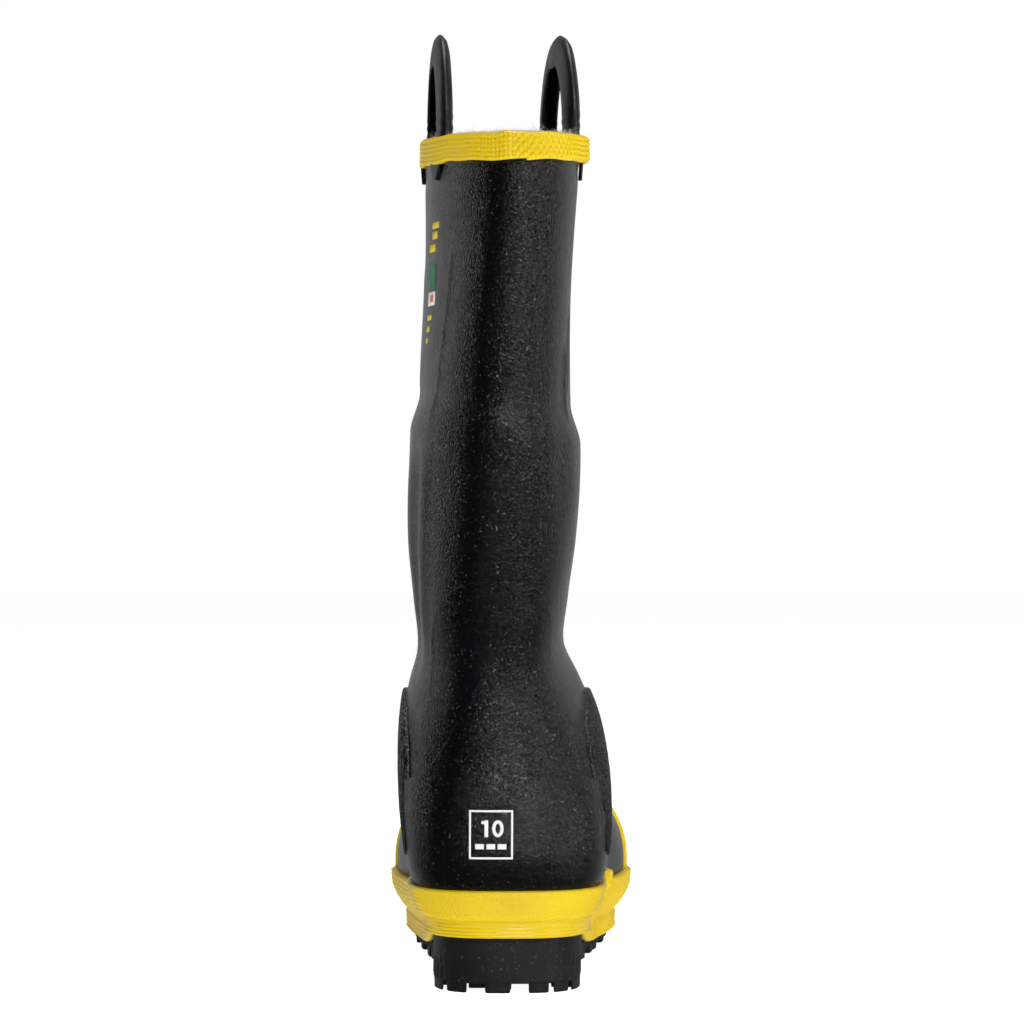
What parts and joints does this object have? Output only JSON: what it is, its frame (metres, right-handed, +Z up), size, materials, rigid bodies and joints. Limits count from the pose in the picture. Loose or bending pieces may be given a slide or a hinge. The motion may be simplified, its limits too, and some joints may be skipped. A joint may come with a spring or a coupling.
{
  "type": "fire boot",
  "caption": "Insulated black rubber fire boot, left foot, with yellow foxing, toe guard and rim band, a lugged heel and two pull straps.",
  "frame": {"origin": "on the ground in the plane of the tread, under the leg, on the middle lug of the heel", "axes": "+Z up, +Y towards the toe, +X towards the other foot"},
  "size_m": [0.1265, 0.3303, 0.4617],
  "materials": {
    "black_rubber": "glossy, pebbled",
    "overlay_rubber": "glossy, smooth",
    "yellow_rubber": "satin, knurled",
    "strap_rubber": "satin",
    "sole_rubber": "matte",
    "fleece": "brushed",
    "foam": "open-cell foam",
    "footbed_fabric": "knit",
    "board": "fibreboard",
    "steel": "brushed"
  },
  "bodies": {
    "boot": {"leg_shell": "black_rubber", "vamp_shell": "black_rubber", "leg_lining": "fleece", "foot_lining": "fleece", "leg_padding": "foam", "heel_stay": "overlay_rubber", "heel_counter": "overlay_rubber", "ankle_pad_medial": "overlay_rubber", "ankle_pad_lateral": "overlay_rubber", "shin_guard": "overlay_rubber", "top_binding": "yellow_rubber", "strap_ends_medial": "strap_rubber", "strap_ends_lateral": "strap_rubber", "heel_foxing": "yellow_rubber", "forefoot_foxing": "yellow_rubber", "toe_guard": "yellow_rubber", "toe_cap": "steel", "heel_block": "sole_rubber", "outsole": "sole_rubber", "midsole": "sole_rubber", "shank": "steel", "puncture_plate": "steel", "insole_board": "board"},
    "strap_medial": {"strap_loop_medial": "strap_rubber"},
    "strap_lateral": {"strap_loop_lateral": "strap_rubber"},
    "footbed": {"footbed": "footbed_fabric"}
  },
  "joints": [
    {"name": "strap_medial_fold", "type": "hinge", "parent": "boot", "child": "strap_medial", "pos_m": [0.0281, 0.04144, 0.41745], "axis": [-0.1789, 0.9839, 0], "range_deg": [-30, 75], "stiffness_Nm_per_rad": 0.05},
    {"name": "strap_lateral_fold", "type": "hinge", "parent": "boot", "child": "strap_lateral", "pos_m": [-0.03553, 0.0325, 0.41745], "axis": [0.0992, -0.9951, 0], "range_deg": [-30, 75], "stiffness_Nm_per_rad": 0.05},
    {"name": "footbed_lift", "type": "hinge", "parent": "boot", "child": "footbed", "pos_m": [0.002, 0.2515, 0.0382], "axis": [-1, 0, 0], "range_deg": [0, 8]}
  ]
}
